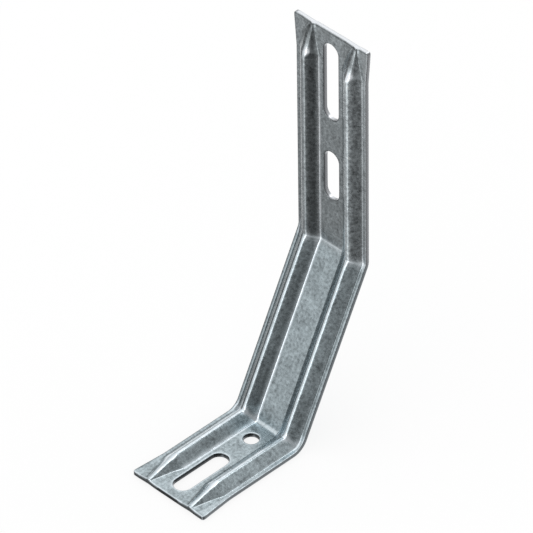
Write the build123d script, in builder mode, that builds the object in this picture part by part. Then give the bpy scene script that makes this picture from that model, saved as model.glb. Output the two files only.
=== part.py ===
from build123d import *
import math
import os

# Ribbed angle bracket: one strip of galvanised sheet steel, ribbed, punched and folded twice.
#
# Frame: millimetres, +Z up.  X runs across the strip, the foot points along -Y and the upright leg
# stands at the back.  The origin is on the axis of the round hole in the foot, on its underside.

# Sheet and strip
sheet = 2.0  # thickness of the steel
strip_width = 40.0  # width of the plain strip, kept at both cut ends
ribbed_width = 37.8  # width left where the full ribs have drawn the edges in
edge_break = 0.3  # rounding of the sheared long edges
corner_round = 1.2  # rounding of the four corners of the strip
rim_round = 0.3  # rounding of the punched rims

# Folds, measured on the hollow side of the bracket, to the sharp corners of the folds
foot_length = 56.0
web_length = 82.0
leg_length = 106.0
web_lean = 27.0  # lean of the web away from the upright, in degrees
fold_radius = 4.6  # on the flat between the ribs, and just above the height of a rib

# Ribs, on the hollow side
rib_spacing = 23.5  # crest to crest
rib_base = 10.4  # sharp corner to sharp corner at the foot of a rib
rib_height = 4.0
crest_radius = 2.5
root_radius = 1.0

# Run-outs: each rib sinks into the sheet towards the two cut ends
run_out = 14.0  # length of a run-out
end_land = 2.0  # plain stretch left at each cut end
end_rib_base = 7.6
end_rib_height = 0.8

# Holes, all on the centre line
slot_width = 8.0
foot_slot_length = 28.0
foot_slot_from_end = 4.7  # cut end of the foot to the near end of the slot
hole_diameter = 6.5
hole_from_fold = 9.2  # round hole to the sharp corner of the lower fold
long_slot_length = 37.0
long_slot_from_end = 6.1
short_slot_length = 23.6
slot_gap = 16.2  # sheet left between the two slots of the upright leg

# Heights of the foot's two faces and places along Y, from the origin at the round hole
foot_top = sheet
fold_y = hole_from_fold
foot_end_y = fold_y - foot_length
foot_land_y = foot_end_y + end_land
foot_full_y = foot_land_y + run_out  # here the ribs reach their full height

# The web climbs back from the lower fold, and the leg stands on its far end
web_back = web_length * math.sin(math.radians(web_lean))
web_rise = web_length * math.cos(math.radians(web_lean))
leg_face_y = fold_y + web_back
leg_foot_z = foot_top + web_rise
leg_end_z = leg_foot_z + leg_length
leg_land_z = leg_end_z - end_land
leg_full_z = leg_land_z - run_out


def face_corners(depth, width, spacing, base, height):
    """Corners of a line across the strip, `depth` below its hollow side, from edge to edge.

    Each rib is a roof with a rounded ridge.  On the hollow side its crest reaches `height`, so the
    flank is the line from the root that touches the crest's circle.
    """
    half_base = base / 2
    to_centre = math.hypot(half_base, height - crest_radius)
    flank = math.atan2(height - crest_radius, half_base) + math.asin(crest_radius / to_centre)
    foot = half_base - depth * math.tan(flank / 2)
    ridge = half_base * math.tan(flank) - depth / math.cos(flank)
    corners = [(-width / 2, -depth)]
    for centre in (-spacing / 2, spacing / 2):
        corners += [(centre - foot, -depth), (centre, ridge), (centre + foot, -depth)]
    return corners + [(width / 2, -depth)]


def section(plane, *rib):
    """Cross section of the sheet on a plane whose Y axis points to the hollow side."""
    inside = (root_radius, crest_radius, root_radius) * 2
    outside = (root_radius + sheet, crest_radius - sheet, root_radius + sheet) * 2
    with BuildSketch(plane) as outline:
        with BuildLine():
            hollow = FilletPolyline(*face_corners(0, *rib), radius=inside)
            back = FilletPolyline(*face_corners(sheet, *rib), radius=outside)
            Line(hollow @ 0, back @ 0)
            Line(hollow @ 1, back @ 1)
        make_face()
        across = outline.vertices().group_by(Axis.X)
        fillet(across[0] + across[-1], radius=edge_break)
    return outline.sketch


full_rib = (ribbed_width, rib_spacing, rib_base, rib_height)
end_rib = (strip_width, rib_spacing, end_rib_base, end_rib_height)


def across_foot(y):
    """Plane across the foot: local X along the width, local Y to the hollow side."""
    return Plane((0, y, foot_top), x_dir=(1, 0, 0), z_dir=(0, -1, 0))


def across_leg(z):
    """Plane across the upright leg: local X along the width, local Y to the hollow side."""
    return Plane((0, leg_face_y, z), x_dir=(-1, 0, 0), z_dir=(0, 0, 1))


# Planes on the hollow side: local X across the strip, local Y along it from the cut end
on_foot = Plane((0, foot_end_y, foot_top), x_dir=(1, 0, 0), z_dir=(0, 0, 1))
on_leg = Plane((0, leg_face_y, leg_end_z), x_dir=(-1, 0, 0), z_dir=(0, -1, 0))

with BuildPart() as angle_bracket:
    # The ribbed strip, folded: one section carried along foot, web and leg
    with BuildLine() as run:
        FilletPolyline(
            (0, foot_full_y, foot_top),
            (0, fold_y, foot_top),
            (0, leg_face_y, leg_foot_z),
            (0, leg_face_y, leg_full_z),
            radius=fold_radius,
        )
    sweep(sections=section(across_foot(foot_full_y), *full_rib), path=run.line)

    # The run-outs, where the ribs sink and the strip regains its width
    foot_stations = ((foot_full_y, full_rib), (foot_land_y, end_rib), (foot_end_y, end_rib))
    loft([section(across_foot(y), *rib) for y, rib in foot_stations], ruled=True)
    leg_stations = ((leg_full_z, full_rib), (leg_land_z, end_rib), (leg_end_z, end_rib))
    loft([section(across_leg(z), *rib) for z, rib in leg_stations], ruled=True)

    # Punched holes, each with its rim rolled over on the hollow side where the punch went in
    with BuildSketch(on_foot):
        with Locations((0, foot_slot_from_end + foot_slot_length / 2)):
            SlotOverall(foot_slot_length, slot_width, rotation=90)
        with Locations((0, foot_length - hole_from_fold)):
            Circle(hole_diameter / 2)
    extrude(amount=-sheet, mode=Mode.SUBTRACT)
    fillet(angle_bracket.edges(Select.LAST).group_by(Axis.Z)[-1], radius=rim_round)

    with BuildSketch(on_leg):
        with Locations((0, long_slot_from_end + long_slot_length / 2)):
            SlotOverall(long_slot_length, slot_width, rotation=90)
        with Locations((0, long_slot_from_end + long_slot_length + slot_gap + short_slot_length / 2)):
            SlotOverall(short_slot_length, slot_width, rotation=90)
    extrude(amount=-sheet, mode=Mode.SUBTRACT)
    fillet(angle_bracket.edges(Select.LAST).group_by(Axis.Y)[0], radius=rim_round)

    # The four corners of the strip: a square round each corner, less the quarter circle it keeps
    corner_x = strip_width / 2
    round_x = corner_x - corner_round
    for sheet_plane in (on_foot, on_leg):
        with BuildSketch(sheet_plane):
            with Locations((-corner_x, 0), (corner_x, 0)):
                Rectangle(2 * corner_round, 2 * corner_round)
            with Locations((-round_x, corner_round), (round_x, corner_round)):
                Circle(corner_round, mode=Mode.SUBTRACT)
        extrude(amount=-sheet, mode=Mode.SUBTRACT)

angle_bracket.part.label = "angle_bracket"
os.makedirs("parts", exist_ok=True)
export_step(angle_bracket.part, "parts/angle_bracket.step")
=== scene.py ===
# %% [markdown]
# # An angle bracket in galvanised sheet steel
#
# The bracket is one strip of 2 mm steel.  It was pressed with two long ribs, folded at two places
# and punched with three slots and a round hole, and then dipped in zinc.  This lesson sets up a
# camera where the photographer stood and a white table with light for metal.  Then it presses,
# folds and punches the strip as one fine mesh, and works out the zinc from the strip's own shape.
#
# The mesh takes that model's place.

# %% Load the frame
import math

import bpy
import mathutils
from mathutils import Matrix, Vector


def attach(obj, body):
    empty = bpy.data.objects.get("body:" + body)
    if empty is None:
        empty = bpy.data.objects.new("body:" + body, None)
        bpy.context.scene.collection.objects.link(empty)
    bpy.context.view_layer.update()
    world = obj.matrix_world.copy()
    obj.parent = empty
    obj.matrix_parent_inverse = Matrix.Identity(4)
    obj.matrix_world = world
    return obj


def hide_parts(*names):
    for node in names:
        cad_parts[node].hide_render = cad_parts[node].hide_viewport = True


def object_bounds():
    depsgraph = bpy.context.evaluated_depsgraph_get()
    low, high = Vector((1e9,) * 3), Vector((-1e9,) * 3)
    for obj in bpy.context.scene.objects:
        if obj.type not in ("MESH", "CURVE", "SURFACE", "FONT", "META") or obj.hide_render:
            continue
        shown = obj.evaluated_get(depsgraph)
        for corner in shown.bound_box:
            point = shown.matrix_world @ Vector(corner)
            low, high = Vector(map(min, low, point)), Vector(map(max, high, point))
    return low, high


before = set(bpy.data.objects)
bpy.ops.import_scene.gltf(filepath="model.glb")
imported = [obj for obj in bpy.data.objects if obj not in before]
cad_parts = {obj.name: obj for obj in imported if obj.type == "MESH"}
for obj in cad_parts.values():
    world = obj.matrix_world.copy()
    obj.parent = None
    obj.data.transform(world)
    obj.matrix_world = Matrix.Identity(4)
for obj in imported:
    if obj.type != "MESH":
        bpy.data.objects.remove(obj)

# %% [markdown]
# ## The size to keep
#
# A finer mesh could easily grow past the model that it stands for.  So the box round the model is
# read before anything is added, and its size is printed.

MILLIMETRES = 1000.0  # in a metre

cad_low, cad_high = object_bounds()
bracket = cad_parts["angle_bracket"]
model_size = [round(v * MILLIMETRES, 2) for v in cad_high - cad_low]
print("model", model_size, "mm,", len(bracket.data.polygons), "faces")

# %% [markdown]
# ## The camera
#
# The photograph was taken from the right and well above, with a long lens: its parallel edges
# hardly run together.  A camera has six numbers for its place and turn and one for its lens.  They
# could be tried by hand, but here they come from matching the strip's straight edges, its four
# corners and the slot ends, so the outline falls where it does in the picture.  Azimuth 0 looks
# along +Y, and the camera walks towards +X as it grows.

# %% Camera
AZIMUTH, ELEVATION, ROLL = (math.radians(v) for v in (45.71, 39.50, -0.89))
FOCAL_PIXELS, IMAGE_PIXELS = 6155.0, 533
CAMERA_PLACE = (1.33498, -1.29230, 1.62271)
SENSOR_WIDTH = 36  # millimetres

right = mathutils.Vector((math.cos(AZIMUTH), math.sin(AZIMUTH), 0))
back = mathutils.Vector(
    (
        math.sin(AZIMUTH) * math.cos(ELEVATION),
        -math.cos(AZIMUTH) * math.cos(ELEVATION),
        math.sin(ELEVATION),
    )
)
up = back.cross(right)
rolled_right = math.cos(ROLL) * right + math.sin(ROLL) * up
rolled_up = math.cos(ROLL) * up - math.sin(ROLL) * right

lens = bpy.data.cameras.new("camera")
lens.sensor_width = SENSOR_WIDTH
lens.lens = FOCAL_PIXELS / IMAGE_PIXELS * SENSOR_WIDTH
camera = bpy.data.objects.new("camera", lens)
camera.matrix_world = mathutils.Matrix(
    [(rolled_right[i], rolled_up[i], back[i], CAMERA_PLACE[i]) for i in range(3)] + [(0, 0, 0, 1)]
)
bpy.context.collection.objects.link(camera)
bpy.context.scene.camera = camera
bpy.context.scene.view_settings.view_transform = "Standard"
print("lens", round(lens.lens, 1), "mm")

# %% [markdown]
# ## Arithmetic on shader sockets
#
# A finish is a formula that is worked out at every point of a surface.  Blender draws a formula as
# boxes and wires, and a long one is hard to read that way.  `Wire` holds one output of a node, so
# that `1 - mask * 0.5` in Python adds the Math nodes for it.  `node` adds any other kind of node:
# its settings are made first, because some of them change which sockets the node has.

# %% Wires


class Wire:
    """One output of a shader node, with arithmetic."""

    tree = None  # the node tree that new nodes go into

    def __init__(self, socket):
        self.socket = socket

    @classmethod
    def node(cls, kind, settings=None, sockets=None, output=0):
        """Adds a node, makes its settings, fills its sockets and gives one of its outputs."""
        made = cls.tree.nodes.new(kind)
        for name, value in (settings or {}).items():
            setattr(made, name, value)
        for name, value in (sockets or {}).items():
            if isinstance(value, Wire):
                cls.tree.links.new(value.socket, made.inputs[name])
            else:
                made.inputs[name].default_value = value
        return cls(made.outputs[output])

    def combine(self, operation, other, swapped=False):
        """A Math node, or a Vector Math node where this output is a vector."""
        first, second = (other, self) if swapped else (self, other)
        kind = "ShaderNodeVectorMath" if self.socket.type == "VECTOR" else "ShaderNodeMath"
        return Wire.node(kind, {"operation": operation}, {0: first, 1: second})

    def __add__(self, other):
        return self.combine("ADD", other)

    def __sub__(self, other):
        return self.combine("SUBTRACT", other)

    def __rsub__(self, other):
        return self.combine("SUBTRACT", other, swapped=True)

    def __mul__(self, other):
        return self.combine("MULTIPLY", other)

    __radd__ = __add__
    __rmul__ = __mul__

    def __neg__(self):
        return self * -1

    def __abs__(self):
        return Wire.node("ShaderNodeMath", {"operation": "ABSOLUTE"}, {0: self})


def rise(value, low, high):
    """0 below low, 1 above high, and smooth between; with low above high it falls instead."""
    return Wire.node(
        "ShaderNodeMapRange",
        {"interpolation_type": "SMOOTHSTEP"},
        {"Value": value, "From Min": low, "From Max": high},
    )


def clamp(value):
    """The value, kept from 0 to 1."""
    return Wire.node("ShaderNodeClamp", {}, {0: value})


# %% [markdown]
# ## Table
#
# The bracket stands on plain white, with only a faint shadow.  An overlit table would give
# that white too, but the bracket would be overlit with it.  So most of the table's white is a glow
# that the camera alone sees, and the rest is matt paper, which takes the shadow.

# %% Table
PAPER = (0.94, 0.94, 0.94, 1)
GLOW_SHARE = 0.8
TABLE_REACH = 6.0


def new_material(name):
    """An empty node material, its node tree ready for wires, and its surface socket."""
    material = bpy.data.materials.new(name)
    material.use_nodes = True
    Wire.tree = material.node_tree
    Wire.tree.nodes.clear()
    end = Wire.tree.nodes.new("ShaderNodeOutputMaterial")
    return material, end.inputs["Surface"]


def join(wire, socket):
    """Leads a wire to the socket at the end of a node tree."""
    Wire.tree.links.new(wire.socket, socket)


def mesh_object(name, corners, sides):
    """An object made from its corners and the corner numbers of its faces."""
    mesh = bpy.data.meshes.new(name)
    mesh.from_pydata(corners, [], sides)
    mesh.update()
    made = bpy.data.objects.new(name, mesh)
    bpy.context.collection.objects.link(made)
    return made


paper, surface = new_material("white table")
matt = Wire.node("ShaderNodeBsdfDiffuse", {}, {"Color": PAPER})
glow = Wire.node("ShaderNodeEmission", {}, {"Color": (1, 1, 1, 1), "Strength": 1.0})
for_camera = Wire.node("ShaderNodeLightPath", output="Is Camera Ray")
join(Wire.node("ShaderNodeMixShader", {}, {0: GLOW_SHARE * for_camera, 1: matt, 2: glow}), surface)
quarters = ((-1, -1), (1, -1), (1, 1), (-1, 1))
table_corners = [(x * TABLE_REACH, y * TABLE_REACH, 0) for x, y in quarters]
table = mesh_object("table", table_corners, [(0, 1, 2, 3)])
table.data.materials.append(paper)
table.visible_glossy = False
print("table", 2 * TABLE_REACH, "m wide")

# %% [markdown]
# ## Tent
#
# A shiny thing looks like whatever it reflects.  A lamp alone gives metal a few hot spots on black,
# and an all-white room makes it look like paper.  Photographers put metal in a tent of paper with
# brighter and darker sheets.  The tent here is a large ball that only reflections meet, and each
# sheet is a formula of the direction: x to the right, y to the back and z up.  Separate glowing
# panels would do too, but the ball leaves no gaps, and its sheets fade into one another.

# %% Tent
TENT_RADIUS = 3.0
CENTRE = mathutils.Vector((0, 0, 0.09))  # half the bracket's height above the table

cloth, surface = new_material("tent")
place = Wire.node("ShaderNodeTexCoord", output="Object")
towards = Wire.node("ShaderNodeVectorMath", {"operation": "NORMALIZE"}, {0: place})
x, y, z = (Wire.node("ShaderNodeSeparateXYZ", {}, {0: towards}, output=name) for name in "XYZ")

# A bright strip over the middle, taken away low at the back and high in front
middle = rise(abs(x - 0.02), 0.20, 0.04)
middle = middle * (1 - rise(y, 0.0, 0.3) * rise(z, 0.45, 0.2))
middle = middle * (1 - rise(y, 0.1, -0.2) * rise(z, 0.25, 0.5))

# A dark sheet on the left, with a gap below at the back and a thinner part in its middle
left = 0.75 * rise(x, -0.60, -0.80) * (1 - rise(y, 0.1, 0.4) * rise(z, 0.0, -0.2))
left = left * (1 - rise(z, -0.36, -0.55)) * (1 - 0.7 * rise(y, -0.05, 0.15) * rise(y, 0.50, 0.42))
left = left * (1 - 0.45 * rise(y, 0.3, 0.5))

# The sides: dimmer on the right, and less the dark sheet
sides = 1 - rise(x, 0.15, 0.5) * (0.66 - 0.18 * rise(y, 0.0, 0.5)) - left

# Everything is brighter above than below, except for a pale patch below at the back
below = rise(y, 0.0, 0.4) * rise(z, 0.0, -0.5)
upward = 0.39 + 0.75 * rise(z, -0.8, 0.7) + below * (0.75 - 0.47 * rise(x, -0.3, 0.3))

# A small sheet low in front, which the faces that lean forward mirror
front = rise(z, -0.50, -0.38) * rise(z, -0.12, -0.26) * rise(y, -0.5, -0.7)

light = (sides + 1.9 * middle) * upward + 0.5 * front
join(Wire.node("ShaderNodeEmission", {}, {"Strength": light}), surface)
bpy.ops.mesh.primitive_uv_sphere_add(
    segments=64, ring_count=32, radius=TENT_RADIUS, location=CENTRE
)
tent = bpy.context.object
tent.name = "tent"
tent.data.materials.append(cloth)
cloth.cycles.emission_sampling = "NONE"
tent.visible_camera = False
tent.visible_diffuse = False
tent.visible_shadow = False
tent.visible_transmission = False
print("tent of", len(cloth.node_tree.nodes), "nodes")

# %% [markdown]
# ## Room
#
# The world lights the table evenly from all sides.  That alone would leave hardly any shadow, so a
# wide, weak lamp hangs overhead.  The metal doesn't mirror it, because a lamp's round spot of light
# would run along every rib.

# %% Room
world = bpy.data.worlds.new("room")
world.use_nodes = True
bpy.context.scene.world = world
Wire.tree = world.node_tree
Wire.tree.nodes.clear()
world_end = Wire.tree.nodes.new("ShaderNodeOutputWorld")
even_white = {"Color": (1, 1, 1, 1), "Strength": 1.0}
join(Wire.node("ShaderNodeBackground", {}, even_white), world_end.inputs["Surface"])

LAMP_PLACE = mathutils.Vector((-0.9, 0.3, 1.9))
lamp = bpy.data.lights.new("overhead", "AREA")
lamp.shape = "DISK"
lamp.size = 1.2
lamp.energy = 3
overhead = bpy.data.objects.new("overhead", lamp)
overhead.location = LAMP_PLACE
overhead.rotation_euler = (CENTRE - LAMP_PLACE).to_track_quat("-Z", "Y").to_euler()
overhead.visible_glossy = False
bpy.context.collection.objects.link(overhead)
print("lamp of", lamp.energy, "W")

# %% [markdown]
# ## The strip, laid flat
#
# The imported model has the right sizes, but the press leaves forms that plain folding hasn't: the
# ribs end in pointed noses that lean to one side, the folds are tighter between the ribs than at
# the edges, and every cut edge is a little rolled over.  These catch the light, so the strip is
# made here once more as one fine mesh.  It could be carved with modifiers, but sheet steel is
# easier to describe as a grid: rows that run across the strip and columns that run along it.  A
# row has one height for each column, which is the pressed section, and folding only moves the
# rows.
#
# The sizes are the model's own, in millimetres.  Only the crests are sharper, and the swells at
# the cut ends are lower, because the lines of light in the photograph are so narrow.

# %% Sizes
SHEET = 2.0
END_WIDTH, RIBBED_WIDTH = 40.0, 37.8
FOOT, WEB, LEG = 56.0, 82.0, 106.0
LEAN = math.radians(27.0)
FOLD_Y = 9.2
RIB_X = 11.75
RIB_HEIGHT, RIB_HALF_BASE, CREST, ROOT = 4.0, 5.2, 1.7, 1.0
TIP_HEIGHT, TIP_CREST, TIP_ROOT = 0.75, 1.6, 0.8  # of a rib at the tip of its nose
RUN_OUT_START, FLARE_END, NOSE_TIP = 16.0, 2.0, 1.2  # distances from a cut end
SWELL_HEIGHT, SWELL_HALF = 0.5, 3.8
EDGE_ROLL, END_ROLL, CORNER = 0.4, 0.5, 1.2

to_crest = math.hypot(RIB_HALF_BASE, RIB_HEIGHT - CREST)
FLANK = math.atan2(RIB_HEIGHT - CREST, RIB_HALF_BASE) + math.asin(CREST / to_crest)
print("flank of a rib", round(math.degrees(FLANK), 1), "degrees")

# %% [markdown]
# ## One rib
#
# Seen from its end a rib is a roof: two flanks, a round crest, and a round root where each flank
# meets the flat.  A bevel on a plain roof would come close, but its radii couldn't change along
# the rib.  So `roof` works out the height at any distance from the middle.  Towards a cut end the
# roof keeps its slope and sinks, which makes a nose like the bow of a boat, and the nose runs out
# on a low swell that reaches the cut.

# %% Rib section


def mix(a, b, share):
    """From a to b; it works on numbers and on wires."""
    return a + (b - a) * share


def ease(share):
    """A smooth step from 0 to 1, for numbers."""
    share = min(max(share, 0.0), 1.0)
    return share * share * (3 - 2 * share)


def bump(value, middle, width):
    """A round bump, 1 at its middle and soon 0 beyond its width, for numbers."""
    return math.exp(-(((value - middle) / width) ** 2))


def roof_marks(half_base, crest, root):
    """Distances from the middle where the crest, the flank and the root end."""
    root_end = half_base + root * math.tan(FLANK / 2)
    return crest * math.sin(FLANK), root_end - root * math.sin(FLANK), root_end


def roof(u, half_base, crest, root):
    """Height of a rib at a distance u from its middle."""
    crest_end, flank_end, root_end = roof_marks(half_base, crest, root)
    if u < crest_end:
        middle = half_base * math.tan(FLANK) - crest / math.cos(FLANK)
        return middle + math.sqrt(crest**2 - u**2)
    if u < flank_end:
        return (half_base - u) * math.tan(FLANK)
    if u < root_end:
        return root - math.sqrt(max(root**2 - (root_end - u) ** 2, 0.0))
    return 0.0


def half_base_for(height, crest):
    """Half the base of a roof of that height and crest, at the same slope."""
    return (height - crest + crest / math.cos(FLANK)) / math.tan(FLANK)


def swell(u, half):
    """Height of the low swell that a nose runs out on: a shallow roof with a round ridge."""
    return SWELL_HEIGHT * max(0.0, 1.08 - math.hypot(u, 0.3) / half)


def sunk(e):
    """How far a rib has run out at a distance e from the nearer cut end: 0 full, 1 gone."""
    length = RUN_OUT_START - NOSE_TIP
    share, soft = (RUN_OUT_START - e) / length, 0.5 / length
    if share < -soft:
        return 0.0
    if share < soft:
        return (share + soft) ** 2 / (4 * soft)
    return min(share, 1.0)


print("half base of a full rib", round(half_base_for(RIB_HEIGHT, CREST), 2), "mm")

# %% [markdown]
# ## Wear and painted light
#
# The press rubs the zinc bright where it bends the steel most, but most of the bright lines here
# are painted highlights, and the dark creases beside them are painted shade.  Both could be drawn
# on a picture of the strip, but here each column of the grid carries a number, 1 for burnished zinc
# or a painted highlight and -1 for a painted dark crease, which the finish reads later.  The tables
# give it for the two halves of a rib, from the crest outwards, on its full length and on its nose.
# They were matched to the photograph by its brightness across the strip.

# %% Wear and painted light on the ribs
RIB_LEFT = (
    *(1, 0.5, 0.3, 0.25, 0.25),  # crest
    *(0.25, 0.22, 0.18, 0.1, 0, -0.1),  # flank
    *(-0.2, -0.2, -0.1, 0),  # root
    *(0, 0, 0, 0, 0),  # flat beside the rib
)
RIB_RIGHT = (
    *(1, 0.8, 0.3, 0, 0),
    *(0, 0, 0, 0, 0.2, 1),
    *(1, 1, 1, 1),
    *(1, 0.9, 0.6, 0.2, 0),
)
# On a nose the left half is painted bright up its flank, and its root is painted dark.
NOSE_LEFT = (
    *(1, 1, 1, 1, 1),
    *(1, 0.6, 0.25, 0.1, 0.1, 0.1),
    *(0, -0.8, -0.9, -0.5),
    *(0, 0, 0, -0.1, 0),
)
NOSE_RIGHT = (
    *(1, 0.7, 0.2, 0, 0),
    *(0, 0, 0, 0, 0, 0.3),
    *(0.7, 0.8, 0.4, 0),
    *(0, 0, 0, -0.2, 0),
)
CREST_COLUMNS = 5


def rib_wear_and_light(column, side, gone, on_leg):
    """How bright one column of a rib is rubbed or painted with a highlight, or how dark with
    painted shade, where the rib has run out by `gone`.
    """
    nose = (NOSE_LEFT if side < 0 else NOSE_RIGHT)[column]
    # On the leg a nose keeps part of its painted shade, and its crest gets a painted highlight past
    # the knuckle.
    if on_leg:
        nose *= 0.6 if nose < 0 else 0.0
        if column < CREST_COLUMNS:
            nose = mix(-0.3 * (1 - gone), 1.0, bump(gone, 0.18, 0.18))
    full = (RIB_LEFT if side < 0 else RIB_RIGHT)[column]
    return mix(full, nose, ease(gone / 0.1))


print("columns on half a rib", len(RIB_LEFT))

# %% [markdown]
# ## One row
#
# Evenly spaced columns would miss the narrow crests and roots.  So they follow the crest, the
# flanks and the roots, and each bend has enough faces however the rib changes.  The flat between
# the ribs has a column each half millimetre, for the rims of the holes.  The back of the sheet has
# as many columns, and lies one thickness further along the sheet's own normal, so its bends have
# their own radii.
#
# The press also squeezes the ribs: in a fold the crest and the roots widen, and at the knuckle,
# where a nose begins, the crest is rounder.

# %% Rib columns
STEPS = (4, 6, 4, 3, 2)  # crest, flank, root, the flat beside them up to its limit, and its rim
RIB_LIMIT, LIMIT_RIM, TIP_LIMIT_RIM = 6.0, 0.4, 0.5
FOOT_LEAN, LEG_LEAN = 0.7, 2.6  # how far the tips of the noses lie to the right
BACK_CREST = 0.5


def spread(marks, counts):
    """Values between marks, with that many steps in each gap."""
    values = [marks[0]]
    for low, high, count in zip(marks, marks[1:], counts):
        values += [mix(low, high, (i + 1) / count) for i in range(count)]
    return values


def leaned(u, limit, lean):
    """How far one place on a nose moves: the whole lean on its crest, and nothing at its limit."""
    return lean * max(0.0, 1 - u / limit)


def rib_columns(e, on_leg, squeezed):
    """A rib from left to right: (x from its middle, height, back x, back height, wear and painted
    light).
    """
    gone = sunk(e)
    crest = mix(CREST, TIP_CREST, gone) + bump(gone, 0.12, 0.12) + 0.8 * squeezed
    if on_leg:
        crest += 1.4 * math.sin(math.pi * gone)
    root = mix(ROOT, TIP_ROOT, gone) + 0.8 * squeezed
    half_base = half_base_for(mix(RIB_HEIGHT, TIP_HEIGHT, gone), crest)
    limit = mix(RIB_LIMIT, SWELL_HALF, gone) + 0.3 * squeezed
    rim = limit + mix(LIMIT_RIM, TIP_LIMIT_RIM, gone) - 0.15 * squeezed
    marks = (0.0, *roof_marks(half_base, crest, root), limit, rim)

    back = RIB_HALF_BASE - SHEET * math.tan(FLANK / 2), BACK_CREST, ROOT + SHEET
    full_back = (0.0, *roof_marks(*back), RIB_LIMIT, RIB_LIMIT + LIMIT_RIM)
    back_marks = tuple(mix(full, here, gone) for full, here in zip(full_back, marks))

    lean = (LEG_LEAN if on_leg else FOOT_LEAN) * gone
    half = []
    for u, back_u in zip(spread(marks, STEPS), spread(back_marks, STEPS)):
        top = max(roof(u, half_base, crest, root), swell(u, limit) * gone)
        groove = mix(roof(back_u, *back), 0.5 * swell(back_u, limit), gone)
        shift, back_shift = leaned(u, limit, lean), leaned(back_u, back_marks[-2], lean)
        half.append((u, shift, top, back_u, back_shift, groove - SHEET))
    columns = []
    for side, order in ((-1, range(len(half) - 1, 0, -1)), (1, range(len(half)))):
        for column in order:
            u, shift, top, back_u, back_shift, under = half[column]
            wear_and_painted_light = rib_wear_and_light(column, side, gone, on_leg)
            columns.append((side * u + shift, top, side * back_u + back_shift, under, wear_and_painted_light))
    return columns


WHOLE = 50.0  # a distance from the cut ends at which the ribs are whole
print("columns on a rib", len(rib_columns(WHOLE, False, 0.0)))

# %% [markdown]
# ## Across the strip
#
# A row of the face is a flange, a rib, the flat, a rib and a flange.  Two faces with a straight
# edge between them would look like paper, so the sheared edge is rolled over on both faces.  One
# row then is a closed loop: along the face, down the edge, along the back and up the other edge.

# %% Rows
FLAT_HALF, FLAT_COLUMNS = 5.0, 10  # the flat that carries the holes, and its columns on each side
# Painted light on the flanges: a painted dark line along the left edge, and the right flange
# painted paler.
LEFT_FLANGE_LIGHT, RIGHT_FLANGE_LIGHT = (-0.35, 0.05, 0.05), (0.35, 0.35, 0.35)
OUTER_ROOT, OUTER_ROOT_LIGHT = 3.5, 0.35  # the outer root of a rib carries a weaker painted highlight than the inner
ROLL_STEPS = [(math.radians(a), cut) for a, cut in ((30, 0.0), (60, 0.3), (90, 1.0))]
EDGE_POINTS = 7


def edge_at(e):
    """Half the strip's width at a distance e from the nearer cut end."""
    share = min(max((RUN_OUT_START - e) / (RUN_OUT_START - FLARE_END), 0), 1)
    width = mix(RIBBED_WIDTH, END_WIDTH, share)
    if e >= CORNER:
        return width / 2
    return width / 2 - CORNER + math.sqrt(CORNER**2 - (CORNER - e) ** 2)


def face_row(e, on_leg=False, squeezed=0.0):
    """The two faces at one row: (x, height, back x, back height, wear and painted light) from left
    to right.
    """
    edge = edge_at(e) - EDGE_ROLL
    rib = rib_columns(e, on_leg, squeezed)
    rim, back_rim = rib[-1][0], rib[-1][2]

    def flat_at(x, back_x, wear_and_painted_light=0.0):
        return (x, 0.0, back_x, -SHEET, wear_and_painted_light)

    def flange(light_on_it):
        shares = (1 / 3, 2 / 3, 1.0)
        return [
            flat_at(mix(RIB_X + rim, edge, share), mix(RIB_X + back_rim, edge, share), wear_and_painted_light)
            for share, wear_and_painted_light in zip(shares, light_on_it)
        ]

    def mirrored(points):
        return [(-x, h, -back_x, back_h, wear_and_painted_light) for x, h, back_x, back_h, wear_and_painted_light in points]

    def moved(distance):
        placed = []
        for x, h, back_x, back_h, wear_and_painted_light in rib:
            outside = abs(x + distance) > RIB_X + OUTER_ROOT
            wear_and_painted_light *= OUTER_ROOT_LIGHT if outside else 1.0
            placed.append((x + distance, h, back_x + distance, back_h, wear_and_painted_light))
        return placed

    beside = [flat_at(mix(FLAT_HALF, RIB_X - rim, 0.5), mix(FLAT_HALF, RIB_X - back_rim, 0.5))]
    places = [FLAT_HALF * i / FLAT_COLUMNS for i in range(-FLAT_COLUMNS, FLAT_COLUMNS + 1)]
    flat = [flat_at(x, x) for x in places]
    left = mirrored(reversed(flange(reversed(LEFT_FLANGE_LIGHT)))) + moved(-RIB_X) + mirrored(beside)
    return left + flat + beside + moved(RIB_X) + flange(RIGHT_FLANGE_LIGHT)


def full_row(e, on_leg=False, inset=0.0, squeezed=0.0):
    """A closed loop round the sheet: top from left to right, edge, back, edge.

    Each point is (x, height, cut, wear and painted light), with cut 1 on the sheared edge.  An
    inset draws all faces in, for the rolled rim of a cut end.
    """
    columns = face_row(e, on_leg, squeezed)
    edge = edge_at(e)
    side = []
    for a, cut in ROLL_STEPS:
        roll = (edge - EDGE_ROLL * (1 - math.sin(a)), -EDGE_ROLL * (1 - math.cos(a)))
        # A painted highlight along the right rolled edge.
        side.append((*roll, cut, 0.8 * (1 - cut)))
    lower = [(x, -SHEET - h, cut, wear_and_painted_light) for x, h, cut, wear_and_painted_light in reversed(side)]
    side += [(edge, -SHEET / 2, 1.0, 0.0)] + lower
    side = [(x, min(max(h, inset - SHEET), -inset), cut, wear_and_painted_light) for x, h, cut, wear_and_painted_light in side]
    loop = [(x, h - inset, 0.0, wear_and_painted_light) for x, h, _, _, wear_and_painted_light in columns]
    loop += [(x - inset, h, cut, wear_and_painted_light) for x, h, cut, wear_and_painted_light in side]
    loop += [(x, h + inset, 0.0, wear_and_painted_light) for _, _, x, h, wear_and_painted_light in reversed(columns)]
    # The left rolled edge takes the same numbers turned round: a painted dark line.
    loop += [(inset - x, h, cut, -wear_and_painted_light) for x, h, cut, wear_and_painted_light in reversed(side)]
    return loop


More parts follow.
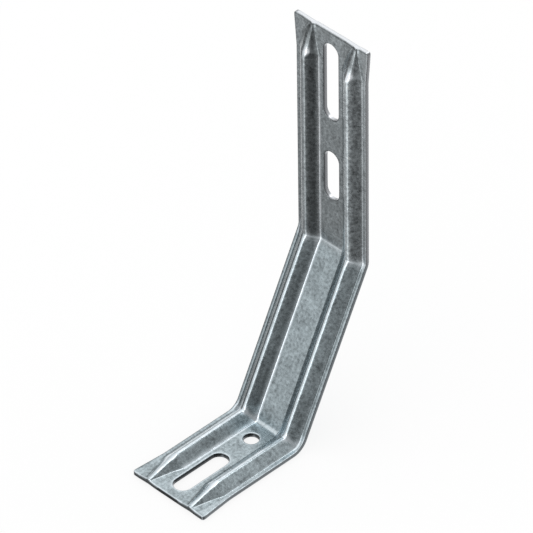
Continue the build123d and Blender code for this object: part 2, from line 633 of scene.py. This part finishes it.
TOP_COUNT = len(face_row(WHOLE))
print("columns on a face", TOP_COUNT, "points in a row", len(full_row(WHOLE)))

# %% [markdown]
# ## Folding
#
# In the press each fold is tight between the ribs, sharper still along a crest, which is squeezed,
# and round at the strip's edges.  A bend modifier gives all columns one radius.  So each column
# turns through its own arc here, and the arcs meet in the plane that halves the fold.

# %% Folding
FOOT_PART, WEB_PART, LEG_PART = 0, 1, 2  # the three flat stretches
FOLDS = (
    {"reach": 5.0, "rows": 26, "flat": 1.9, "root": 1.9, "crest": 1.2, "edge": 6.4},
    {"reach": 4.0, "rows": 18, "flat": 4.5, "root": 3.5, "crest": 2.0, "edge": 6.0},
)

stretches = []
corner = mathutils.Vector((0, FOLD_Y - FOOT, SHEET))
for length, angle in ((FOOT, math.pi / 2), (WEB, LEAN), (LEG, 0.0)):
    upward = mathutils.Vector((0, math.sin(angle), math.cos(angle)))
    hollow = mathutils.Vector((0, -math.cos(angle), math.sin(angle)))
    stretches.append({"start": corner, "along": upward, "hollow": hollow, "length": length})
    corner = corner + upward * length
starts = [0.0, FOOT, FOOT + WEB]


def on_stretch(index, distance, x, height):
    """A point on a flat stretch, that far from the stretch's start."""
    one = stretches[index]
    point = one["start"] + one["along"] * distance + one["hollow"] * height
    return (x, point.y, point.z)


def fold_radius(fold, x, height):
    """The radius that the hollow face turns through at one place across the fold."""
    x = abs(x)
    radius = mix(fold["flat"], fold["root"], ease((x - 4.5) / 1.7))
    radius = mix(radius, fold["crest"], min(max(height, 0) / RIB_HEIGHT, 1))
    return mix(radius, fold["edge"], ease((x - 14.8) / 3.9))


def on_fold(index, share, x, height, radius):
    """A point in a fold, with share from 0 at its first row to 1 at its last."""
    before, after = stretches[index], stretches[index + 1]
    reach = FOLDS[index]["reach"]
    turn = before["along"].angle(after["along"])
    straight = reach - (height + radius) * math.tan(turn / 2)
    travelled = share * (2 * straight + radius * turn)
    point = after["start"] - before["along"] * reach + before["hollow"] * height
    if travelled <= straight:
        point = point + before["along"] * travelled
    elif travelled <= straight + radius * turn:
        angle = (travelled - straight) / radius
        centre = point + before["along"] * straight + before["hollow"] * radius
        spoke = before["along"] * math.sin(angle) - before["hollow"] * math.cos(angle)
        point = centre + radius * spoke
    else:
        to_go = 2 * straight + radius * turn - travelled
        point = after["start"] + after["along"] * (reach - to_go) + after["hollow"] * height
    return (x, point.y, point.z)


def fold_wear_and_sheen(fold, share, x, height):
    """How bright one place in a fold is rubbed and painted with a highlight: most on a crest and in
    a root, less on a flank.
    """
    x = abs(x)
    if x > 18.2:  # the rolled edge
        return 0.0
    on_rib = ease((x - 5.6) / 1.0)
    high = ease((height - 2.6) / 0.8)
    low = ease((1.8 - height) / 1.4) * on_rib
    most = mix(0.5 + 0.1 * on_rib, 1.0, max(high, 0.9 * low))
    width = 1.4 * mix(0.9 - 0.1 * on_rib, 2.6, max(high, low))
    return most * bump((2 * share - 1) * fold["reach"], 0.0, width)


for fold in FOLDS:
    looked_at = (0, 0), (RIB_X, RIB_HEIGHT), (18.7, 0)
    radii = [round(fold_radius(fold, x, height), 1) for x, height in looked_at]
    print("radii on the flat, a crest and an edge", radii, "mm")

# %% [markdown]
# ## Rows along the strip
#
# As many rows everywhere as the noses need would make a heavy mesh.  So the rows lie close
# together at the cut ends and the noses, and far apart where nothing changes.  A hole needs a row
# just before and just after it, so those two rows are kept whatever lies near them.

# %% Rows along
MARGIN = 1.0  # between a hole and the end of the field that it is cut from
HOLES = (  # stretch, distance of the middle from its start, half the straight part, and radius
    {"stretch": FOOT_PART, "middle": 18.7, "half": 10.0, "radius": 4.0},
    {"stretch": FOOT_PART, "middle": FOOT - FOLD_Y, "half": 0.0, "radius": 3.25},
    {"stretch": LEG_PART, "middle": LEG - 24.6, "half": 14.5, "radius": 4.0},
    {"stretch": LEG_PART, "middle": LEG - 71.1, "half": 7.8, "radius": 4.0},
)
FOLD_GAPS = (0.0, 0.6, 1.6)
HOLE_GAPS = [0.7 * i for i in range(1, 7)]
EVEN_ROWS = 24
CLOSE, TOO_CLOSE = 0.29, 1e-6
FINE_END = 1.3


def field_reach(hole):
    """Half the length of the field that a hole is cut from."""
    return hole["half"] + hole["radius"] + MARGIN


def end_rows():
    """Distances of the rows near a cut end, round the corner first and then along the nose."""
    rows = [CORNER * (1 - math.cos(math.radians(a))) for a in (45, 60, 75, 90)]
    return rows + [1.6] + [2.0 + 0.5 * i for i in range(33)]


def stretch_rows(index):
    """Distances of the rows on one stretch, from its start."""
    length = stretches[index]["length"]
    if index == FOOT_PART:
        rows = end_rows()
    else:
        rows = [FOLDS[index - 1]["reach"] + gap for gap in FOLD_GAPS]
    if index == LEG_PART:
        rows += [length - e for e in end_rows()]
    else:
        rows += [length - FOLDS[index]["reach"] - gap for gap in FOLD_GAPS]
    needed = []
    for hole in HOLES:
        if hole["stretch"] == index:
            for side in (-1, 1):
                needed.append(hole["middle"] + side * field_reach(hole))
                rows += [hole["middle"] + side * (field_reach(hole) - gap) for gap in HOLE_GAPS]
    start, stop = min(rows), max(rows)
    rows += [start + (stop - start) * i / EVEN_ROWS for i in range(EVEN_ROWS + 1)]
    rows = [r for r in rows if all(abs(r - n) > 0.3 for n in needed)]
    rows = sorted(rows + needed)
    kept = [rows[0]]
    for r in rows[1:]:
        gap = r - kept[-1]
        wanted = r in needed or gap > CLOSE or min(r, length - r) < FINE_END
        if wanted and gap > TOO_CLOSE:
            kept.append(r)
    return kept


print("rows on foot, web and leg", [len(stretch_rows(index)) for index in range(3)])

# %% [markdown]
# ## The vertices
#
# They are made row by row, with five notes on each: how far along and across the strip it lies,
# how high, whether it is on a sheared edge, and how it is worn or painted with light and shade.
# The finish could take its places from the folded shape instead, but then grain, wear and painted
# light would slide over the folds.  With the notes they follow the strip round.

# %% Vertices
vertices, notes, rows_at = [], [], []


def back_of(k):
    """The column on the back that lies under a column on the top, and the other way round."""
    return 2 * TOP_COUNT + EDGE_POINTS - 1 - k


def add_vertex(point, along, across, height, cut, wear_and_painted_light):
    """Keeps a vertex, in metres, and its notes, and gives its number."""
    vertices.append(tuple(v / MILLIMETRES for v in point))
    notes.append((along, across, height, cut, wear_and_painted_light))
    return len(vertices) - 1


def end_rim_light(index, e, wear_and_painted_light):
    """Painted light on the rolled rim of a cut end: a painted highlight on the foot's, and a
    painted dark line on the leg's.
    """
    if e > 1.0 or index == WEB_PART:
        return wear_and_painted_light
    if index == FOOT_PART:
        return 0.8 * ease((0.7 - e) / 0.15)
    return mix(-0.8, wear_and_painted_light, ease((e - 0.6) / 0.5))


def add_row(index, distance, inset=0.0, cut_face=0.0):
    """One row on a flat stretch; at a cut end the inset draws it in, and it is partly cut face."""
    e = (distance, WHOLE, stretches[index]["length"] - distance)[index]
    row = [
        add_vertex(
            on_stretch(index, distance, x, h),
            starts[index] + distance,
            x,
            h,
            max(cut, cut_face),
            end_rim_light(index, e, wear_and_painted_light) * (1 - cut_face),
        )
        for x, h, cut, wear_and_painted_light in full_row(max(e, 0.0), index == LEG_PART, inset)
    ]
    rows_at.append((index, distance, row))


def add_fold(index):
    """All the rows in one fold.  The back turns on the same centre as the face above it."""
    fold = FOLDS[index]
    for i in range(1, fold["rows"]):
        share = i / fold["rows"]
        loop = full_row(WHOLE, squeezed=bump((share - 0.5) * fold["reach"], 0.0, 1.0))
        row = []
        for k, (x, h, cut, wear_and_painted_light) in enumerate(loop):
            if k < TOP_COUNT:
                radius = fold_radius(fold, x, h)
            elif TOP_COUNT + EDGE_POINTS <= k < 2 * TOP_COUNT + EDGE_POINTS:
                face_x, face_h, _, _ = loop[back_of(k)]
                radius = fold_radius(fold, face_x, face_h) + face_h - h
            else:
                radius = fold["edge"] - h
            along = starts[index + 1] + (2 * share - 1) * fold["reach"]
            wear_and_painted_light = 1 - (1 - wear_and_painted_light) * (1 - fold_wear_and_sheen(fold, share, x, h))
            point = on_fold(index, share, x, h, radius)
            row.append(add_vertex(point, along, x, h, cut, wear_and_painted_light))
        rows_at.append((None, None, row))


END_RIM = [  # distance from the cut end, inset, and how much of the rim is cut face
    (END_ROLL * (1 - math.cos(a)), END_ROLL * (1 - math.sin(a)), math.cos(a) ** 3)
    for a in (math.radians(v) for v in (0, 30, 60, 90))
]
PAST_RIM = END_ROLL + 0.05
for e, inset, cut_face in END_RIM:
    add_row(FOOT_PART, e, inset, cut_face)
for index in (FOOT_PART, WEB_PART, LEG_PART):
    for distance in stretch_rows(index):
        if index == WEB_PART or PAST_RIM < distance < stretches[index]["length"] - PAST_RIM:
            add_row(index, distance)
    if index != LEG_PART:
        add_fold(index)
for e, inset, cut_face in reversed(END_RIM):
    add_row(LEG_PART, LEG - e, inset, cut_face)
print("rows", len(rows_at), "vertices", len(vertices))

# %% [markdown]
# ## The faces
#
# A quad joins each two rows and columns.  Holes could be cut out of the finished mesh with a
# boolean, but that leaves slivers which shade badly.  So the quads of a hole's field are left out
# here, and a neat ring takes their place later.  The two cut ends are closed with one face each.

# %% Faces
faces = []
ROW_LENGTH = len(rows_at[0][2])
LEFT, RIGHT = TOP_COUNT // 2 - FLAT_COLUMNS, TOP_COUNT // 2 + FLAT_COLUMNS

hole_rows = []
for hole in HOLES:
    inside = [
        i
        for i, (index, distance, _) in enumerate(rows_at)
        if index == hole["stretch"] and abs(distance - hole["middle"]) < field_reach(hole) + 0.01
    ]
    hole_rows.append((inside[0], inside[-1]))


def in_a_hole(i, k):
    """True if the quad between rows i and i + 1 and columns k and k + 1 is in a hole's field."""
    if k >= TOP_COUNT:
        k = back_of(k + 1)
    return LEFT <= k < RIGHT and any(first <= i < last for first, last in hole_rows)


for i in range(len(rows_at) - 1):
    this, following = rows_at[i][2], rows_at[i + 1][2]
    for k in range(ROW_LENGTH):
        n = (k + 1) % ROW_LENGTH
        if not in_a_hole(i, k):
            faces.append((this[k], this[n], following[n], following[k]))
faces.append(tuple(reversed(rows_at[0][2])))
faces.append(tuple(rows_at[-1][2]))
print("faces before the holes", len(faces))

# %% [markdown]
# ## Punched holes
#
# A punch enters on the hollow side and drags the rim down a little, cuts a bright band, and tears
# the rest, so the hole is a touch wider on the back.  A bevel could round the rim, but it wouldn't
# know which side the punch came from.  So each hole is a ring of quads from the edge of its field
# to the rim, down the wall and out on the back.

# %% Holes
RIM_ROLL = 0.4
RIM_ANGLES = (0, 30, 60, 90)
# Painted light round the rims: a pale ring and a highlight on the foot's, dark outlines on the
# leg's.
FOOT_RIM_LIGHT, LEG_RIM_SHADE = (0.9, 0.4, -0.6, -0.7), (-0.5, -0.9, -0.9, -0.7)
AROUND_RIM, TORN = 0.7, 0.05  # width of the ring round a rim, and how much wider the back is


def hole_rings(radius, on_foot):
    """(radius, height, cut, wear and painted light) of each ring, from the hollow face down to the
    back.
    """
    rings = [(radius + AROUND_RIM, 0.0, 0.0, 0.4 if on_foot else 0.0)]
    for degrees, wear_and_painted_light in zip(RIM_ANGLES, FOOT_RIM_LIGHT if on_foot else LEG_RIM_SHADE):
        a = math.radians(degrees)
        out, down = RIM_ROLL * (1 - math.sin(a)), RIM_ROLL * (1 - math.cos(a))
        rings.append((radius + out, -down, (degrees / 90) ** 2, wear_and_painted_light))
    # a band of painted shade down the wall
    rings += [(radius, -0.7, 1.0, -0.4), (radius, -0.95, 1.0, 0.0)]
    return rings + [(radius + TORN, -SHEET, 1.0, 0.0), (radius + AROUND_RIM, -SHEET, 0.0, 0.0)]


for hole, (first, last) in zip(HOLES, hole_rows):
    index = hole["stretch"]
    ring = [(first, k) for k in range(LEFT, RIGHT)] + [(i, RIGHT) for i in range(first, last)]
    ring += [(last, k) for k in range(RIGHT, LEFT, -1)]
    ring += [(i, LEFT) for i in range(last, first, -1)]
    outer = [rows_at[i][2][k] for i, k in ring]
    under = [rows_at[i][2][back_of(k)] for i, k in ring]
    loops = [outer]
    for radius, height, cut, wear_and_painted_light in hole_rings(hole["radius"], index == FOOT_PART):
        loop = []
        for vertex in outer:
            along, across = notes[vertex][0] - starts[index], notes[vertex][1]
            low, high = hole["middle"] - hole["half"], hole["middle"] + hole["half"]
            middle = min(max(along, low), high)
            away = math.hypot(along - middle, across)
            distance, x = middle + (along - middle) / away * radius, across / away * radius
            point = on_stretch(index, distance, x, height)
            loop.append(add_vertex(point, starts[index] + distance, x, height, cut, wear_and_painted_light))
        loops.append(loop)
    loops.append(under)
    for a, b in zip(loops, loops[1:]):
        for j in range(len(a)):
            n = (j + 1) % len(a)
            faces.append((a[j], a[n], b[n], b[j]))
print("faces with the holes", len(faces))

# %% [markdown]
# ## The mesh
#
# The notes go in as attributes, one number for each vertex.  Smooth shading alone would blur the
# rims, so edges of more than 40 degrees stay sharp.  The mesh then takes the place of the packed
# bracket.  A sheet has no open edge anywhere, and the volume tells if a face lies the wrong way.

# %% Mesh
import bmesh

SHARP = math.radians(40)

strip = mesh_object("ribbed_strip", vertices, faces)
# The last note is wear and painted light: burnished lines, painted highlights and painted shade.
for column, name in enumerate(("along", "across", "rise", "cut", "wear_and_painted_light")):
    layer = strip.data.attributes.new(name, "FLOAT", "POINT")
    layer.data.foreach_set("value", [note[column] for note in notes])
strip.data.polygons.foreach_set("use_smooth", [True] * len(strip.data.polygons))
strip.data.set_sharp_from_angle(angle=SHARP)
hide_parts("angle_bracket")
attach(strip, "root")

check = bmesh.new()
check.from_mesh(strip.data)
print("faces", len(faces), "open edges", sum(not edge.is_manifold for edge in check.edges))
print("volume", round(check.calc_volume(signed=True) * MILLIMETRES**3), "cubic millimetres")
check.free()

# %% [markdown]
# ## Zinc: the mottle
#
# Hot-dipped steel is a matt, cloudy metal.  Where the zinc froze it left a fine mottle, the
# spangle.  A photograph of zinc would have to be unrolled round the folds without a seam.  Noise
# needs no picture: here it is laid on the flat strip, in millimetres, in four sizes.  One of them
# is stretched along the strip, as rolled steel is.

# %% Mottle
DULL_ZINC = 0.42

zinc, surface = new_material("galvanised steel")
# The last attribute holds wear and painted light: painted highlights and painted shade.
along, across, height, cut, wear_and_painted_light = (
    Wire.node("ShaderNodeAttribute", {"attribute_name": name}, output="Fac")
    for name in ("along", "across", "rise", "cut", "wear_and_painted_light")
)
on_strip = Wire.node("ShaderNodeCombineXYZ", {}, {"X": across, "Y": along, "Z": height})
stretched = on_strip * (1.0, 0.35, 1.0)


def noise(vector, scale, detail, roughness):
    """Cloudy noise about 0.5."""
    sockets = {"Vector": vector, "Scale": scale, "Detail": detail, "Roughness": roughness}
    return Wire.node("ShaderNodeTexNoise", {}, sockets)


clouds = noise(on_strip, 0.14, 3.0, 0.6)
spangle = noise(on_strip, 0.75, 2.5, 0.65)
streaks = noise(stretched, 0.4, 3.0, 0.6)
patches = noise(on_strip, 0.24, 2.0, 0.5)
level = DULL_ZINC * (1 + 0.8 * (clouds - 0.5) + 1.8 * (spangle - 0.5) + 0.8 * (streaks - 0.5))

# %% [markdown]
# ## Zinc: zones
#
# In the photograph foot, web and leg aren't equally grey, and nor are the two sides of a rib.  Part
# of that is the zinc and part is what the metal mirrors, and one picture can't tell them apart.
# The tent gives the larger part here, and masks on the strip paint in the rest as painted light and
# shade.  Three materials would meet in hard lines, so each mask fades out over a few millimetres.
# `along` counts from the foot's cut end, with the folds at 56 and 138 mm and the leg's cut end at
# 244 mm.

# %% Zones
on_foot = rise(along, 62.0, 50.0)
past_fold = rise(along, 60.0, 64.0)
on_web = past_fold * rise(along, 140.0, 134.0)
on_leg = rise(along, 134.0, 142.0)
below_noses = rise(along, 229.0, 222.0)
on_flanks = rise(height, 0.2, 1.5)
away = abs(across)
right_half = rise(across, 0.0, 8.0)
left_outside = rise(across, -12.4, -12.8)  # past the crest of the left rib
left_flange = rise(across, -10.8, -11.2)  # the same with the crest
right_inside = rise(across, 6.2, 7.0) * rise(across, 13.0, 12.4) * below_noses

# %% [markdown]
# ## Zinc: burnished lines and painted highlights
#
# The wear and painted light on each vertex become two masks: one for burnished zinc with painted
# highlights, and one for creases of painted shade.  The highlights are painted stronger on the
# foot's crests, weaker on the left shoulder and on the leg, and a little patchy everywhere.  Two
# thin lines of painted shade run along the right edge of the web.

# %% Burnished and painted highlights, painted shade in creases
foot_crests = rise(along, 62.0, 45.0) * rise(height, 1.0, 2.0)
edge_lines = rise(away, 16.7, 16.9) * rise(away, 17.9, 17.7) + rise(away, 18.45, 18.55)
edge_lines = on_web * edge_lines * rise(across, 0.0, 1.0) * (1 - cut)
shoulder = left_outside * rise(height, 0.3, 0.6) * past_fold
wear_and_painted_light = wear_and_painted_light * (1 + 1.2 * foot_crests) * (1 - 0.8 * shoulder) - 0.9 * edge_lines
burnish_and_highlight = clamp(wear_and_painted_light) * (0.7 + 0.3 * rise(patches, 0.38, 0.62))
burnish_and_highlight = burnish_and_highlight * (1 - 0.3 * on_leg * rise(along, 229.0, 226.0))
burnish_and_highlight = burnish_and_highlight * (1 - 0.6 * on_leg * (left_flange + right_inside))
crease_shade = clamp(-wear_and_painted_light)

# %% [markdown]
# ## Zinc: flanks and flats
#
# The level of each flank and flat is matched to the photograph with the tent in place, as painted
# light and shade: the inner flank of the left rib is painted darkest, and the right rib paler.  A
# closer copy of the studio would need less of this, but its sheets can't be worked out from a
# single view.  The masks lie on the strip and know nothing of the camera, so they are the same from
# all sides.

# %% Flanks and flats
inner = rise(across, -11.0, -9.0) * rise(across, 0.0, -4.0)
flanks = (0.06 + 0.08 * (on_leg + on_foot)) * right_half - (0.15 + 0.35 * on_leg) * inner
flanks = flanks - 0.25 * past_fold * rise(along, 90.0, 66.0)
flanks = flanks + on_leg * right_half * (rise(height, 2.0, 4.0) - 0.08)
flanks = flanks + 0.25 * on_foot * rise(across, 5.5, 6.5) * rise(across, 11.2, 10.8)
flats = 0.3 * rise(along, 160.0, 240.0) - 0.1 * on_leg
level = level * (1 + flanks * on_flanks) * (1 + flats * (1 - on_flanks))

# %% [markdown]
# ## Zinc: narrow strips of painted light and shade
#
# The photograph also shows paler and darker strips beside the crests and roots, a millimetre or
# two wide, and here they are painted light and shade.  They could be columns of their own in the
# mesh, but they don't change its shape.  A mask across the strip does it with no more faces.

# %% Strips beside crests and roots
outer_root = on_web * rise(across, -14.8, -15.6) * rise(height, -0.5, -0.1)
past_root = rise(across, -17.6, -18.1)
level = mix(level, 0.95, 0.35 * outer_root * (1 - past_root))
level = level * (1 - 0.2 * outer_root * past_root)
before_root = rise(across, -9.4, -8.0) * rise(across, -5.6, -6.6) * rise(height, 0.05, 0.4)
level = level * (1 - (0.18 * on_web + 0.12 * on_leg) * before_root)
past_crest = rise(across, 12.2, 12.6) * rise(across, 16.0, 12.6)
before_crest = rise(across, 6.6, 8.0) * rise(across, 11.6, 11.2)
level = level * (1 + on_web * (0.3 * past_crest + 0.14 * before_crest))
level = level * (1 - 0.1 * on_leg * left_flange * below_noses)
level = level * (1 - 0.24 * on_leg * right_inside)
level = level * (1 - 0.3 * on_web * left_outside * rise(height, 1.6, 2.4))

# %% [markdown]
# ## Zinc: cut edges
#
# A sheared edge is rougher than the rolled faces and mirrors less.  In the photograph the leg's end
# is pale, and the foot's end and the walls of its holes are nearly black: that black is painted
# shade, and so is a thin dark line along the rim of the leg's end.  A second material could be
# given to those faces, but the edge is rolled over and has no clear border, so masks fade from one
# to the other.  They are used in order, because the last one wins.

# %% Cut edges
SHEEN_AND_BURNISH_LEVEL, LEG_END, FOOT_CUT_SHADE = 0.85, 0.76, 0.05
CREASE_SHADE_DEPTH = 0.7

# Burnished zinc and painted highlights, then painted shade in the creases.
level = mix(level, SHEEN_AND_BURNISH_LEVEL, burnish_and_highlight)
level = level * (1 - CREASE_SHADE_DEPTH * crease_shade)
level = mix(level, DULL_ZINC + 0.18 * on_leg, cut)
level = mix(level, LEG_END, cut * rise(along, 243.0, 243.5))
# A painted dark line along the rolled rim of the leg's end.
level = level * (1 - CREASE_SHADE_DEPTH * crease_shade * cut)
# The foot's end and its hole walls are painted nearly black: painted shade.
punched = cut * rise(away, 6.0, 5.0) * (0.55 + 0.45 * rise(height, -1.4, -0.7))
foot_end = 0.8 * cut * rise(along, 0.3, 0.1)
level = mix(level, FOOT_CUT_SHADE, clamp(rise(along, 56.0, 52.0) * (punched + foot_end)))

# %% [markdown]
# ## Zinc: metal
#
# Zinc is a cool grey, and nearly white where it is burnished, where a highlight is painted, or
# where it is cut.  It is a metal all over, so its brightness comes from the tent, shaped by the
# painted light above, and the colour here only tints that.  A very low relief breaks up the
# reflections, and the spangle varies the gloss.

# %% Metal
RELIEF_DEPTH = 0.0001

highlight_or_cut = clamp(burnish_and_highlight + cut)
tone = Wire.node(
    "ShaderNodeCombineColor",
    {},
    {
        "Red": level * (0.86 + 0.06 * highlight_or_cut + 0.05 * on_leg),
        "Green": level,
        "Blue": level * (1.06 - 0.02 * on_leg),
    },
)
bumps = {"Strength": 0.6, "Distance": RELIEF_DEPTH, "Height": patches + 0.03 * spangle}
metal = {
    "Base Color": tone,
    "Metallic": 1.0,
    "Roughness": 0.28 + 0.2 * (spangle - 0.5) - 0.08 * burnish_and_highlight,
    "Normal": Wire.node("ShaderNodeBump", {}, bumps),
}
join(Wire.node("ShaderNodeBsdfPrincipled", {}, metal), surface)
strip.data.materials.append(zinc)
print("zinc of", len(zinc.node_tree.nodes), "nodes")
